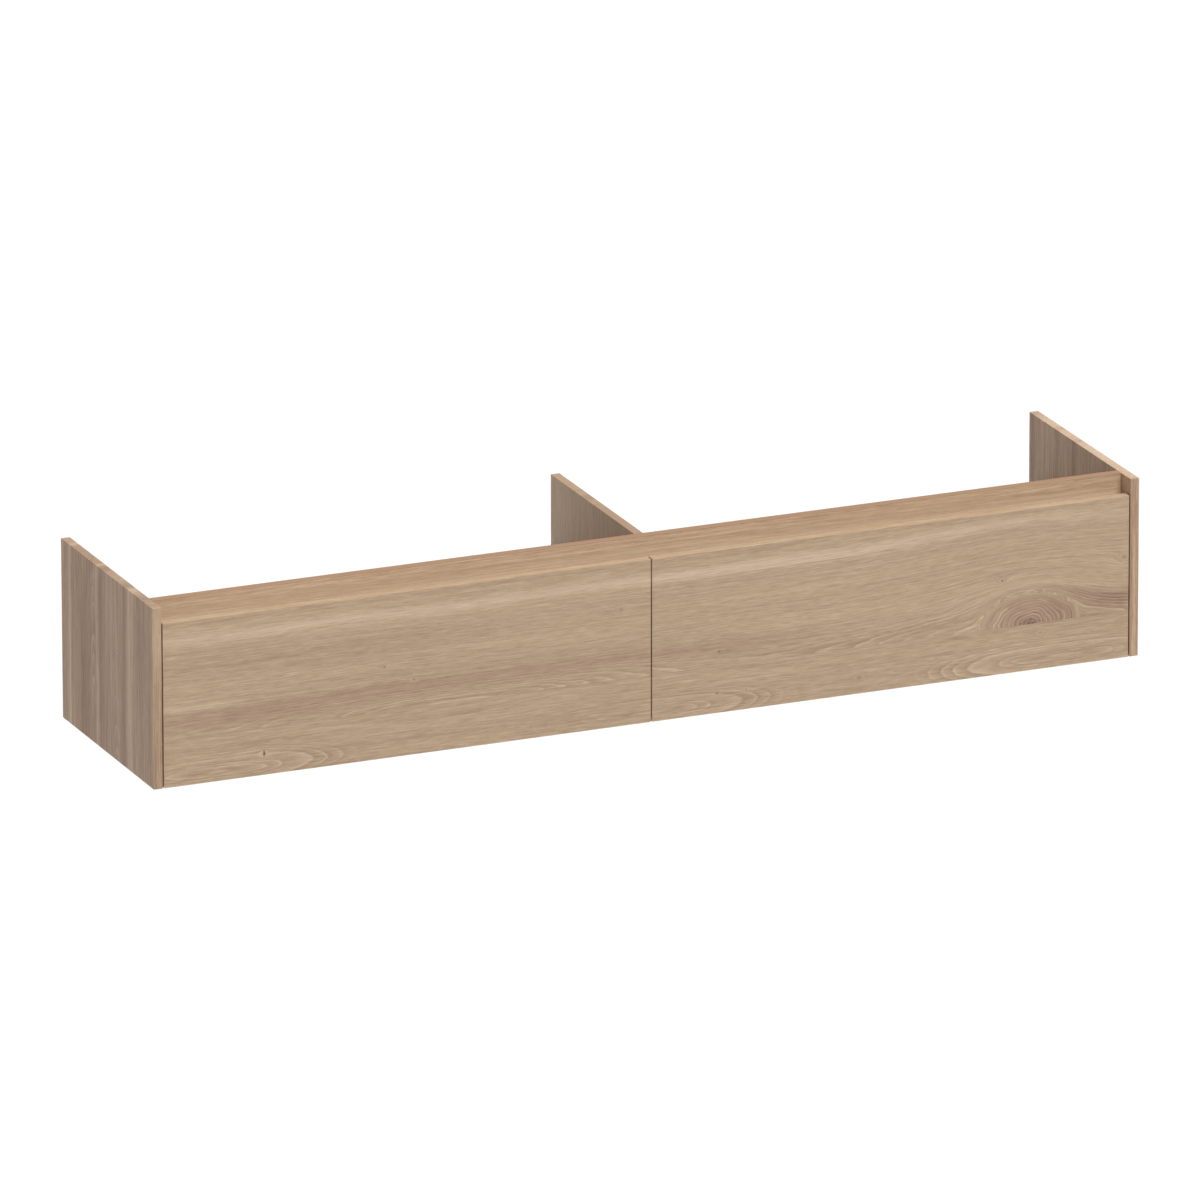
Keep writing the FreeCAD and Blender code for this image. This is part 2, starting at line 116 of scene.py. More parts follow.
class Graph:
    """One material's node tree, with short calls for the nodes used here."""

    def __init__(self, name):
        self.material = bpy.data.materials.new(name)
        self.material.use_nodes = True
        self.tree = self.material.node_tree
        self.surface = self.tree.nodes["Principled BSDF"]

    def node(self, kind, **settings):
        made = self.tree.nodes.new("ShaderNode" + kind)
        for key, value in settings.items():
            setattr(made, key, value)
        return made

    def feed(self, value, socket):
        if isinstance(value, Num):
            self.tree.links.new(value.socket, socket)
        else:
            socket.default_value = value

    def math(self, operation, *values, clamp=False):
        made = self.node("Math", operation=operation, use_clamp=clamp)
        for value, socket in zip(values, made.inputs):
            self.feed(value, socket)
        return Num(self, made.outputs[0])

    def sqrt(self, value):
        return self.math("SQRT", value)

    def fract(self, value):
        return self.math("FRACT", value)

    def above(self, value, edge):
        return self.math("GREATER_THAN", value, edge)

    def clamp(self, value):
        return self.math("ADD", value, 0.0, clamp=True)

    def ramp(self, value, start, end):
        """Smooth step from 0 at start to 1 at end."""
        made = self.node("MapRange", interpolation_type="SMOOTHSTEP", clamp=True)
        for key, number in (("Value", value), ("From Min", start), ("From Max", end)):
            self.feed(number, made.inputs[key])
        return Num(self, made.outputs["Result"])

    def bell(self, value, middle, width):
        """Bump of height 1 at middle that fades out over width to either side."""
        off = self.math("ABSOLUTE", (value - middle) / width)
        return self.math("EXPONENT", self.math("POWER", off, 2.0) * -1.0)

    def position(self):
        split = self.node("SeparateXYZ")
        self.tree.links.new(self.node("TexCoord").outputs["Object"], split.inputs[0])
        return [Num(self, s) for s in split.outputs]

    def facing(self, axis):
        """1 where the surface faces along an axis, either way."""
        split = self.node("SeparateXYZ")
        self.tree.links.new(self.node("NewGeometry").outputs["Normal"], split.inputs[0])
        return self.above(self.math("ABSOLUTE", Num(self, split.outputs["xyz".index(axis)])), 0.7)

    def noise(self, x, y, z, detail=2.0, roughness=0.5):
        """Noise about 0, within about -1 and 1."""
        joined = self.node("CombineXYZ")
        for value, socket in zip((x, y, z), joined.inputs):
            self.feed(value, socket)
        made = self.node("TexNoise", noise_dimensions="3D")
        self.tree.links.new(joined.outputs[0], made.inputs["Vector"])
        made.inputs["Scale"].default_value = 1.0
        made.inputs["Detail"].default_value = detail
        made.inputs["Roughness"].default_value = roughness
        return (Num(self, made.outputs[0]) - 0.5) * 2.0

    def blend(self, factor, first, second, kind="MIX"):
        made = self.node("Mix", data_type="RGBA", blend_type=kind)
        self.feed(factor, made.inputs[0])
        for value, socket in ((first, made.inputs[6]), (second, made.inputs[7])):
            self.feed(value if isinstance(value, Num) else (*value, 1.0), socket)
        return Num(self, made.outputs[2])

    def bump(self, height, strength, distance):
        made = self.node("Bump")
        made.inputs["Strength"].default_value = strength
        made.inputs["Distance"].default_value = distance
        self.feed(height, made.inputs["Height"])
        self.tree.links.new(made.outputs[0], self.surface.inputs["Normal"])

    def finish(self, colour, roughness, **constants):
        self.feed(colour, self.surface.inputs["Base Color"])
        self.feed(roughness, self.surface.inputs["Roughness"])
        for key, value in constants.items():
            self.surface.inputs[key.replace("_", " ")].default_value = value
        return self.material


# ---------------------------------------------------------------- oak

OAK_DARK = (0.290, 0.188, 0.118)
OAK_MIDDLE = (0.446, 0.324, 0.217)
OAK_PALE = (0.590, 0.462, 0.330)
OAK_PALEST = (0.734, 0.600, 0.443)
PINK_TINT = (0.850, 0.785, 0.865)
# Tints of single boards: mostly painted light (rail, partition, right side) and painted shade (left side),
# for each board's place in the light, with some change of hue
RAIL_PAINTED_LIGHT = (1.29, 1.25, 1.24)
PARTITION_PAINTED_LIGHT = (1.10, 1.09, 1.08)
LEFT_SIDE_PAINTED_SHADE = (0.928, 0.902, 0.851)
RIGHT_SIDE_PAINTED_LIGHT = (1.14, 1.12, 1.10)
END_TINT = (1.07, 1.125, 1.205)
KNOT_BROWN = (0.120, 0.070, 0.055)
GLUE_BROWN = (0.200, 0.130, 0.085)
GLUE_LINE = 0.00035
BOX_GLOSS = 0.42


class Stave:
    """One sawn strip of a board: where it ends, where its pith lay, its colour and its rings."""

    def __init__(self, top, pith=0.25, depth=0.03, wave=0.0, period=0.86, phase=0.0,
                 tone=0.0, pink=0.0, ring=0.0032, figure=0.5):
        self.top = top
        self.pith = pith
        self.depth = depth
        self.wave = wave
        self.period = period
        self.phase = phase
        self.tone = tone
        self.pink = pink
        self.ring = ring
        self.figure = figure


def chance_staves(seed, low, high, count):
    """Staves of uneven width that fill a board from low to high, some flat sawn, most rift sawn."""
    dice = random.Random(seed)
    cuts = sorted(low + (high - low) * (i + dice.uniform(-0.28, 0.28)) / count for i in range(1, count))
    staves, bottom = [], low
    for top in cuts + [high]:
        middle = (bottom + top) / 2
        tone, pink = dice.uniform(-0.25, 0.25), dice.uniform(0.0, 0.5)
        phase, period = dice.uniform(0, 6.0), dice.uniform(0.7, 1.1)
        if dice.random() < 0.4:
            depth = dice.uniform(0.026, 0.032)
            staves.append(Stave(top, middle + dice.uniform(-0.02, 0.02), depth, depth * 0.88, period, phase,
                                tone, pink, dice.uniform(0.0055, 0.0070), 0.8))
        else:
            aside = dice.choice((-1, 1)) * dice.uniform(0.12, 0.25)
            staves.append(Stave(top, middle + aside, dice.uniform(0.02, 0.05), 0.004, period, phase,
                                tone, pink, dice.uniform(0.0024, 0.0036), 0.5))
        bottom = top
    return staves


def choose(graph, across, staves, wanted):
    """The wanted value of the stave that a point lies in."""
    value = wanted(staves[0])
    for below, stave in zip(staves, staves[1:]):
        step = wanted(stave) - wanted(below)
        if abs(step) > 1e-9:
            value = graph.above(across, below.top) * step + value
    return value


def oak(name, axes, staves, seed, knots=(), features=None, face=None, tint=None,
        shade=0.0, gloss=0.56):
    """Oak glued up from staves.

    axes names the directions along the grain, across it and into it. face is where the board's face lies
    on the last of them; without it the figure is the same all through the board.
    """
    g = Graph(name)
    place = dict(zip("xyz", g.position()))
    along, across, inward = (place[a] for a in axes)
    shift = seed * 7.31

    # The grain wanders a little along the board, and flows round the knots
    wander = g.noise(along * 1.1 + shift, shift, 0.0, 1.0) * 0.006
    wander = wander + g.noise(along * 4.3 - shift, across * 6.0, 1.7, 1.0) * 0.0022
    flow = across + wander
    heart_rings = None
    for knot in knots:
        run = (along - knot["along"]) / knot["stretch"]
        rise = across - knot["across"]
        reach = run * run + rise * rise
        push = g.math("MINIMUM", knot["radius"] ** 2 / (reach + 1e-7), 1.0)
        if knot["rings"]:
            held = g.above(across, knot["foot"])
            push = push * held
            ragged = g.noise(along * 26.0, across * 34.0, inward * 30.0, 2.0) * 0.006
            from_heart = g.sqrt(reach) + ragged
            core = g.ramp(from_heart, knot["radius"] * 1.15, knot["radius"] * 0.75) * held
            heart_rings = (knot, from_heart, core)
        flow = flow - (flow - knot["across"]) * push
    if heart_rings:
        flow = flow + from_heart * core * 0.6

    # Growth rings: distance from the pith, which lies below the face and comes and goes along the stave
    depth = choose(g, across, staves, lambda s: s.depth)
    wave = choose(g, across, staves, lambda s: s.wave)
    pace = choose(g, across, staves, lambda s: math.tau / s.period)
    phase = choose(g, across, staves, lambda s: s.phase)
    pith = choose(g, across, staves, lambda s: s.pith)
    ring = choose(g, across, staves, lambda s: s.ring)
    figure = choose(g, across, staves, lambda s: s.figure)
    number = choose(g, across, staves, lambda s: staves.index(s) * 3.7)
    under = depth - wave * g.math("COSINE", along * pace + phase)
    under = under + g.noise(along * 7.0, number, shift, 3.0) * 0.003
    if face is not None:
        under = under - (inward - face)
    aside = flow - pith
    radius = g.sqrt(aside * aside + under * under)
    radius = radius + g.noise(along * 22.0, across * 110.0, inward * 110.0, 2.0) * 0.0012
    count = radius / ring + g.noise(radius * 60.0, number, shift, 1.0) * 1.5
    clear = g.ramp(g.noise(count * 0.30, along * 2.2, number + shift, 1.0), -0.55, 0.15)
    clear = clear * figure * (g.ramp(radius, 0.048, 0.030) * 0.85 + 0.15)
    end = g.facing(axes[0])
    clear = g.math("MAXIMUM", clear, end * 0.55)
    if heart_rings:
        knot, from_heart, core = heart_rings
        count = count + (from_heart / knot["ring"] - count) * core
        clear = clear + core * 0.32
    in_ring = g.fract(count)
    early = g.ramp(in_ring, 0.50, 0.0) + g.ramp(in_ring, 0.94, 1.0)
    late = g.bell(in_ring, 0.84, 0.12)

    # Streaks, fibres, pores and ray flecks, from broad to fine
    broad = g.noise(radius * 62.0, along * 1.1, number + shift, 2.0)
    streak = g.noise(along * 3.2 + shift, flow * 210.0, inward * 210.0 + number, 4.0, 0.70)
    grain = g.noise(along * 24.0 - shift, flow * 430.0, inward * 430.0 + number, 3.0, 0.70)
    fibre = g.noise(along * 40.0 + shift, flow * 900.0, inward * 900.0, 2.0, 0.7)
    pore_noise = g.noise(along * 120.0, across * 3300.0 + shift, inward * 3300.0, 1.0)
    pore = g.ramp(pore_noise, 0.14, 0.40) * (early * 0.85 + 0.25)
    fleck = g.ramp(g.noise(along * 55.0 + number, across * 300.0, inward * 300.0, 1.0), 0.30, 0.55)

    tone = choose(g, across, staves, lambda s: s.tone)
    pink = choose(g, across, staves, lambda s: s.pink)
    lengthwise = broad * 0.26 + streak * 0.75 + grain * 1.15 + fibre * 0.60
    tone = lengthwise * (end * -0.75 + 1.0) + tone + 0.07
    # shade is painted shade over the whole board; below zero it is painted light
    tone = tone + (late * 0.80 - early * 0.40) * clear - pore * 0.34 + fleck * 0.12 - shade
    pink = pink + g.noise(along * 0.8, flow * 26.0, number - shift, 2.0) * 0.5
    if features:
        extra_tone, extra_pink = features(g, place, flow, streak)
        tone = tone + extra_tone
        pink = pink + extra_pink
    if heart_rings:
        nearness = g.ramp(from_heart, knot["radius"] * 0.75, 0.0) * core
        tone = tone - nearness * 0.20 - core * 0.18
        pink = pink + nearness * 0.8 + core * 0.55

    colour = g.blend(g.clamp(tone), OAK_MIDDLE, OAK_PALE)
    colour = g.blend(g.clamp(tone - 1.0), colour, OAK_PALEST)
    colour = g.blend(g.clamp(tone * -1.0), colour, OAK_DARK)
    colour = g.blend(g.clamp(pink * 0.60), colour, PINK_TINT, "MULTIPLY")
    # The board's tint is mostly painted light or painted shade, for where the board lies in the light
    if tint:
        colour = g.blend(1.0, colour, tint, "MULTIPLY")
    colour = g.blend(end, colour, END_TINT, "MULTIPLY")

    # Knots: dark heart, checks and pin knots
    dark = None
    for knot in knots:
        run = (along - knot["along"]) / knot["heart"][0]
        rise = (across - knot["across"]) / knot["heart"][1]
        torn = g.noise(along * 240.0, across * 420.0, inward * 200.0, 2.0) * 0.45
        heart = g.ramp(g.sqrt(run * run + rise * rise) + torn, 1.25, 0.15) * knot["dark"]
        if knot["rings"]:
            check = g.ramp(g.noise(along * 190.0, across * 330.0, 3.0, 1.0), 0.10, 0.35) * heart
            heart = (heart * 0.5 + check) * g.above(across, knot["foot"])
        dark = heart if dark is None else g.math("MAXIMUM", dark, heart)
    if dark is not None:
        colour = g.blend(g.clamp(dark), colour, KNOT_BROWN)

    # Glue lines between the staves
    seam = None
    for stave in staves[:-1]:
        line = g.bell(across, stave.top, GLUE_LINE)
        seam = line if seam is None else seam + line
    if seam is not None:
        colour = g.blend(g.clamp(seam * 0.35), colour, GLUE_BROWN)

    roughness = fibre * 0.05 - early * 0.05 + pore * 0.16 + gloss
    relief = pore * -1.0 + fibre * 0.22 - early * 0.16
    if dark is not None:
        relief = relief - dark * 0.9
    if seam is not None:
        relief = relief - seam * 0.7
    g.bump(relief, 0.55, 0.00016)
    return g.finish(colour, roughness, IOR=1.46, Specular_IOR_Level=0.35)


def pin_knot(along, across, size, dark=0.75):
    """Small knot that the grain hardly notices."""
    return {"along": along, "across": across, "radius": size * 1.1, "stretch": 1.6, "rings": False,
            "heart": (size, size * 0.75), "dark": dark}


BASE = cad_low.z


def height(z):
    """Height above the underside, given as a coordinate of the frame."""
    return BASE + z


def bands_of(g, bands, along, flow, streak):
    """Tone and pinkness of soft bands that follow the grain."""
    tone = pink = None
    for middle, reach, level, width, tone_step, pink_step in bands:
        band = g.bell(flow + streak * 0.006, level, width) * g.bell(along, middle, reach)
        tone = band * tone_step if tone is None else tone + band * tone_step
        pink = band * pink_step if pink is None else pink + band * pink_step
    return tone, pink


def front_features(g, place, flow, streak):
    """Pale and dark bands that lie in the drawer fronts' staves."""
    bands = [
        # along, half length, height, half width, tone, pink
        (0.20, 0.75, 0.276, 0.011, 0.62, -0.5),
        (-0.75, 0.45, 0.281, 0.011, 0.50, -0.3),
        (-0.70, 0.50, 0.225, 0.022, -0.14, 0.45),
        (-0.90, 0.13, 0.148, 0.005, 0.50, -0.4),
        (0.45, 0.50, 0.278, 0.011, 0.22, -0.4),
        (-0.80, 0.32, 0.120, 0.024, -0.26, 0.60),
        (-0.30, 0.50, 0.138, 0.021, -0.20, 0.50),
        (0.05, 0.45, 0.126, 0.019, -0.14, 0.42),
        (-0.45, 0.60, 0.060, 0.050, -0.02, 0.22),
        (0.42, 0.26, 0.103, 0.009, -0.24, 0.55),
        (0.95, 0.09, 0.112, 0.016, -0.55, 1.0),
        (0.90, 0.12, 0.121, 0.008, -0.30, 0.5),
        (0.84, 0.18, 0.130, 0.008, 0.40, -0.3),
        (0.45, 0.30, 0.150, 0.012, 0.14, -0.2),
    ]
    bands = [(middle, reach, height(z), *rest) for middle, reach, z, *rest in bands]
    tone, pink = bands_of(g, bands, place["x"], flow, streak)
    return tone - g.bell(place["z"], height(0.3130), 0.004) * 0.20, pink


FRONT_STAVES = [
    Stave(height(0.092), pith=height(0.0195), depth=0.028, wave=0.025, period=0.86, phase=0.11,
          tone=-0.10, pink=0.05, ring=0.0068, figure=0.74),
    Stave(height(0.288), pith=height(0.090), depth=0.026, wave=0.014, period=1.2, phase=2.094,
          tone=-0.03, pink=0.08, ring=0.0042, figure=0.8),
    Stave(height(0.320), pith=height(0.150), depth=0.020, ring=0.0026, figure=0.4),
]
FRONT_KNOTS = [
    {"along": 0.775, "across": height(0.094), "radius": 0.058, "stretch": 1.60, "rings": True,
     "ring": 0.0058, "foot": height(0.092), "heart": (0.026, 0.011), "dark": 0.95},
    pin_knot(0.717, height(0.185), 0.0030, 0.9),
    {"along": -0.780, "across": height(0.042), "radius": 0.006, "stretch": 1.4, "rings": False,
     "heart": (0.0030, 0.0075), "dark": 1.0},
    pin_knot(-0.480, height(0.147), 0.0036, 0.45),
    pin_knot(-0.538, height(0.179), 0.0036, 0.5),
    pin_knot(0.138, height(0.120), 0.0036, 0.5),
    pin_knot(0.133, height(0.039), 0.0024, 0.8),
    pin_knot(0.193, height(0.039), 0.0024, 0.8),
    pin_knot(0.423, height(0.032), 0.0045, 0.35),
    pin_knot(0.797, height(0.072), 0.0045, 0.3),
    pin_knot(-0.062, height(0.229), 0.0045, 0.35),
    pin_knot(0.970, height(0.200), 0.0060, 0.35),
]


def rail_painted_light_and_streaks(g, place, flow, streak):
    """Painted light low on the face, standing in for warm light bounced off the backs of the fronts, and
    painted shade on the top face.
    """
    # low and foot brighten the lower face: painted light
    low = g.ramp(place["z"], height(0.352), height(0.314))
    foot = g.ramp(place["z"], height(0.330), height(0.313))
    # top darkens the top face: painted shade
    top = g.above(place["z"], height(0.3505))
    return low * 0.95 + foot * 0.85 - top * 1.15 + streak * 0.6 - 0.18, low * -0.3 + foot * 0.2 + top * 0.3


def partition_painted_top_shade(g, place, flow, streak):
    """The top face is darker than the sides: painted shade."""
    # top darkens the top face: painted shade
    top = g.above(place["z"], height(0.3515))
    return top * -0.9, top * 0.1


def left_side_features(g, place, flow, streak):
    """Pale stripes beside the glue lines and darker heartwood between them."""
    bands = [
        # along, half length, distance from the wall, half width, tone, pink
        (0.0, 0.6, -0.043, 0.008, 0.75, -0.3),
        (0.0, 0.6, -0.178, 0.006, 0.65, -0.3),
        (0.0, 0.6, -0.342, 0.013, 0.75, -0.2),
        (0.0, 0.6, -0.205, 0.018, -0.50, 0.4),
        (0.0, 0.6, -0.315, 0.014, -0.55, 0.4),
        (-0.1, 0.2, -0.115, 0.020, -0.30, 0.4),
        (0.1, 0.2, -0.400, 0.020, -0.40, 0.5),
        (0.0, 0.6, -0.440, 0.012, -0.25, 0.2),
        (0.13, 0.07, -0.460, 0.004, 0.70, -0.4),
        (0.0, 0.05, -0.460, 0.004, 0.15, 0.3),
    ]
    tone, pink = bands_of(g, bands, place["z"], flow, streak)
    return tone + streak * 1.05 - 0.04, pink + 0.40


def right_side_features(g, place, flow, streak):
    """Browner than the left side, with dark streaks of heartwood, and a paler band towards the front that
    is painted light.
    """
    bands = [
        # along, half length, distance from the wall, half width, tone, pink
        (0.0, 0.6, -0.015, 0.012, -0.35, 0.2),
        (0.0, 0.6, -0.120, 0.010, -0.40, 0.3),
        (0.0, 0.6, -0.205, 0.008, -0.45, 0.3),
        # paler band towards the front: painted light
        (0.0, 0.6, -0.300, 0.100, 0.35, 0.0),
        (0.0, 0.6, -0.460, 0.006, -0.50, 0.0),
    ]
    tone, pink = bands_of(g, bands, place["z"], flow, streak)
    return tone + streak * 1.1, pink + 0.25


RAIL_FACE = cad_low.y + 0.043
RAIL_STAVES = [
    Stave(height(0.318), pith=height(0.560), depth=0.030, tone=0.10, ring=0.0030, figure=0.7),
    Stave(height(0.352), pith=height(0.620), depth=0.040, tone=0.0, ring=0.0034, figure=0.7),
]


def side_staves(seed):
    staves = chance_staves(seed, -0.46, 0.0, 4)
    for stave, top in zip(staves, (-0.327, -0.172, -0.047, 0.0)):
        stave.top = top
    return staves


def paint(material, *nodes):
    for node in nodes:
        slots = frame["nodes"][node].data.materials
        slots.clear()
        slots.append(material)


def paint_oak():
    front = oak("oak_front", "xzy", FRONT_STAVES, 1.0, FRONT_KNOTS, front_features, face=cad_low.y)
    paint(front, "left_drawer_front", "right_drawer_front")
    # The rail's tint is painted light, brightening the rail in its recess behind the fronts
    rail = oak("oak_rail", "xzy", RAIL_STAVES, 2.0, features=rail_painted_light_and_streaks, face=RAIL_FACE, tint=RAIL_PAINTED_LIGHT)
    paint(rail, "grip_rail")
    for bay, seed in (("left", 3), ("right", 4)):
        low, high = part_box(bay + "_side_panel")
        knots = [pin_knot(height(0.217), -0.282, 0.0035, 0.8)] if bay == "left" else []
        # The left side gets painted shade, and the right side painted light, through shade and tint
        marks, shade, tint, face = (left_side_features, 0.10, LEFT_SIDE_PAINTED_SHADE, low.x)
        if bay == "right":
            marks, shade, tint, face = (right_side_features, -0.12, RIGHT_SIDE_PAINTED_LIGHT, high.x)
        paint(oak("oak_" + bay + "_side", "zyx", side_staves(seed), float(seed), knots, marks, face,
                  tint, shade), bay + "_side_panel")
    # The partition gets painted light, through shade and tint
    paint(oak("oak_partition", "zyx", chance_staves(21, -0.44, 0.0, 4), 5.0, features=partition_painted_top_shade,
              tint=PARTITION_PAINTED_LIGHT, shade=-0.12), "centre_partition")
    paint(oak("oak_bottom", "xyz", chance_staves(22, -0.44, 0.0, 5), 6.0), "bottom_panel")
    back = oak("oak_back_rail", "xzy", chance_staves(23, height(0.06), height(0.20), 2), 7.0)
    paint(back, "left_back_rail", "right_back_rail")
    box_heights = height(0.034), height(0.214)
    box_side = oak("oak_box_side", "yzx", chance_staves(24, *box_heights, 2), 8.0, gloss=BOX_GLOSS)
    box_back = oak("oak_box_back", "xzy", chance_staves(25, *box_heights, 2), 9.0, gloss=BOX_GLOSS)
    box_floor = oak("oak_box_floor", "xyz", chance_staves(26, -0.44, -0.06, 5), 10.0, gloss=BOX_GLOSS)
    for bay in ("left", "right"):
        drawer = bay + "_drawer_"
        paint(box_side, drawer + "inner_side", drawer + "outer_side", drawer + "trap_cheeks")
        paint(box_back, drawer + "inner_back", drawer + "outer_back", drawer + "trap_front_wall")
        paint(box_floor, drawer + "floor")


# ---------------------------------------------------------------- metal and plastic

def steel(name, colour, roughness, metallic):
    """Zinc-plated sheet: fine rolling lines, cloudy spangle and small scuffs."""
    g = Graph(name)
    x, y, z = g.position()
    lines = g.noise(x * 2600.0, y * 30.0, z * 2600.0, 2.0)
    cloud = g.noise(x * 90.0, y * 60.0, z * 90.0, 3.0)
    scuff = g.ramp(g.noise(x * 400.0, y * 25.0, z * 400.0, 3.0), 0.30, 0.55)
    shade = cloud * 0.25 + lines * 0.12 + 0.5
    tint = g.blend(g.clamp(shade), [c * 0.80 for c in colour], [min(1.0, c * 1.12) for c in colour])
    g.bump(lines + scuff * -0.6, 0.25, 0.00003)
    return g.finish(tint, cloud * 0.07 + scuff * 0.12 + roughness, Metallic=metallic)


def plastic(name, colour, roughness, grain=1800.0, subsurface=0.0):
    """Moulded plastic: spark-eroded texture and slight flow marks."""
    g = Graph(name)
    x, y, z = g.position()
    skin = g.noise(x * grain, y * grain, z * grain, 2.0)
    mark = g.noise(x * 40.0, y * 40.0, z * 40.0, 2.0)
    tint = g.blend(g.clamp(mark * 0.3 + skin * 0.12 + 0.5), [c * 0.88 for c in colour],
                   [min(1.0, c * 1.10) for c in colour])
    g.bump(skin, 0.35, 0.00004)
    return g.finish(tint, mark * 0.05 + skin * 0.04 + roughness, Subsurface_Weight=subsurface)


def paint_hardware():
    galvanised = steel("galvanised_steel", (0.66, 0.67, 0.68), 0.38, 0.72)
    bright = steel("bright_zinc", (0.74, 0.73, 0.70), 0.28, 0.85)
    grey = plastic("grey_plastic", (0.085, 0.090, 0.096), 0.48)
    orange = plastic("orange_plastic", (0.62, 0.17, 0.035), 0.42)
    nylon = plastic("nylon", (0.74, 0.73, 0.67), 0.40, 900.0, 0.1)
    clear = plastic("soft_clear", (0.66, 0.66, 0.62), 0.35, 600.0, 0.3)
    dowel = oak("beech", "xyz", chance_staves(31, -0.5, 0.0, 2), 12.0)
    by_slot = {"steel": galvanised, "zinc": bright, "grey_plastic": grey, "lever_plastic": orange,
               "nylon": nylon, "clear_rubber": clear, "beech_dowel": dowel}
    for part in frame["record"]["subparts"]:
        if part["material_slot"] in by_slot:
            paint(by_slot[part["material_slot"]], part["node"])
    make_runners(galvanised, bright, grey)
    make_hangers(grey, galvanised, bright)
    make_drawer_fittings(galvanised, bright, grey, orange)
    make_pads(clear)


# ---------------------------------------------------------------- fittings

def rounded(points, radius, closed=True, steps=5):
    """A path with its corners rounded."""
    points = [Vector(p) for p in points]
    count = len(points)
    path = []
    for i, corner in enumerate(points):
        if not closed and i in (0, count - 1):
            path.append(corner)
            continue
        back, on = points[i - 1] - corner, points[(i + 1) % count] - corner
        reach = min(radius, back.length * 0.45, on.length * 0.45)
        start, end = corner + back.normalized() * reach, corner + on.normalized() * reach
        for step in range(steps + 1):
            t = step / steps
            path.append(start * (1 - t) ** 2 + corner * 2 * t * (1 - t) + end * t * t)
    return path


def ribbon(path, thickness, bend):
    """Outline of sheet metal of even thickness that is bent along a path."""
    line = rounded(path, bend, closed=False)
    left, right = [], []
    for i, point in enumerate(line):
        run = line[min(i + 1, len(line) - 1)] - line[max(i - 1, 0)]
        side = Vector((-run.y, run.x)).normalized() * thickness / 2
        left.append(point + side)
        right.append(point - side)
    return left + right[::-1]


class Shape:
    """Mesh of one piece. Sizes are in millimetres and heights are above the underside."""

    def __init__(self):
        self.mesh = bmesh.new()

    def block(self, xs, ys, zs, radius=0.6, steps=2):
        """Block with rounded edges."""
        part = bmesh.new()
        spans = [sorted(span) for span in (xs, ys, zs)]
        middle = Vector([(low + high) / 2 for low, high in spans])
        sizes = Vector([high - low for low, high in spans])
        place = Matrix.Translation(middle) @ Matrix.Diagonal((*sizes, 1.0))
        bmesh.ops.create_cube(part, size=1.0, matrix=place)
        if radius:
            bmesh.ops.bevel(part, geom=part.edges[:], offset=min(radius, min(sizes) * 0.45),
                            segments=steps, profile=0.5, affect="EDGES")
        data = bpy.data.meshes.new("part")
        part.to_mesh(data)
        part.free()
        self.mesh.from_mesh(data)
        bpy.data.meshes.remove(data)

    def prism(self, outline, axis, span):
        """Outline drawn out along an axis. Its pairs are the two other coordinates, in order."""
        rings = []
        for end in span:
            ring = []
            for pair in outline:
                spot = list(pair)
                spot.insert("xyz".index(axis), end)
                ring.append(self.mesh.verts.new(spot))
            rings.append(ring)
        self.mesh.faces.new(rings[0])
        self.mesh.faces.new(rings[1][::-1])
        self.wall(*rings)

    def wall(self, first, second):
        """Faces between two rings, either of which may be a single point."""
        count = max(len(first), len(second))
        for i in range(count):
            j = (i + 1) % count
            corners = [first[i % len(first)], first[j % len(first)],
                       second[j % len(second)], second[i % len(second)]]
            self.mesh.faces.new(list(dict.fromkeys(corners)))

    def turned(self, centre, axis, profile, steps=28):
        """Solid spun round an axis from (distance along it, radius) pairs."""
        turn = Vector(axis).to_track_quat("Z", "Y")
        rings = []
        for along, radius in profile:
            count = steps if radius else 1
            angles = [math.tau * i / count for i in range(count)]
            spots = [Vector((radius * math.cos(a), radius * math.sin(a), along)) for a in angles]
            rings.append([self.mesh.verts.new(Vector(centre) + turn @ spot) for spot in spots])
        for first, second in zip(rings, rings[1:]):
            self.wall(first, second)
        for ring in (rings[0], rings[-1]):
            if len(ring) > 1:
                self.mesh.faces.new(ring)

    def in_frame(self):
        """The mesh in the frame's metres."""
        bmesh.ops.recalc_face_normals(self.mesh, faces=self.mesh.faces[:])
        bmesh.ops.transform(self.mesh, matrix=Matrix.Translation((0, 0, BASE)) @ Matrix.Scale(0.001, 4),
                            verts=self.mesh.verts[:])
        data = bpy.data.meshes.new("piece")
        self.mesh.to_mesh(data)
        self.mesh.free()
        return data


def link(name, data):
    made = bpy.data.objects.new(name, data)
    bpy.context.scene.collection.objects.link(made)
    return made


def soften(data, angle=math.radians(32)):
    """Smooth shading with sharp edges where faces meet at a clear angle."""
    mesh = bmesh.new()
    mesh.from_mesh(data)
    for face in mesh.faces:
        face.smooth = True
    for edge in mesh.edges:
        edge.smooth = len(edge.link_faces) == 2 and edge.calc_face_angle() < angle
    mesh.to_mesh(data)
    mesh.free()


def weld_and_bore(made, bores):
    """Makes one skin of the parts that run into each other, and takes the bores out of it."""
    tool = link("tool", bores.in_frame())
    cut = made.modifiers.new("bore", "BOOLEAN")
    cut.object = tool
    cut.operation = "DIFFERENCE"
    cut.solver = "EXACT"
    cut.use_self = True
    graph = bpy.context.evaluated_depsgraph_get()
    data = bpy.data.meshes.new_from_object(made.evaluated_get(graph))
    made.modifiers.clear()
    made.data = data
    bpy.data.objects.remove(tool)


def stand_in(shape, node, look, bores=None, slot=None):
    """Shows a shape instead of a CAD node, on that node's body and with its finish."""
    part = next(p for p in frame["record"]["subparts"] if p["node"] == node)
    bodies = frame["record"]["behaviour"]["bodies"]
    home = next(body for body, nodes in bodies.items() if node in nodes)
    made = link("look_" + node + ("_" + slot if slot else ""), shape.in_frame())
    if not bores:
        bores = Shape()
        bores.block((0, 1), (200, 201), (0, 1), radius=0)
    weld_and_bore(made, bores)
    soften(made.data)
    made.data.materials.clear()
    made.data.materials.append(look)
    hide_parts(node)
    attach(made, home)
    return made


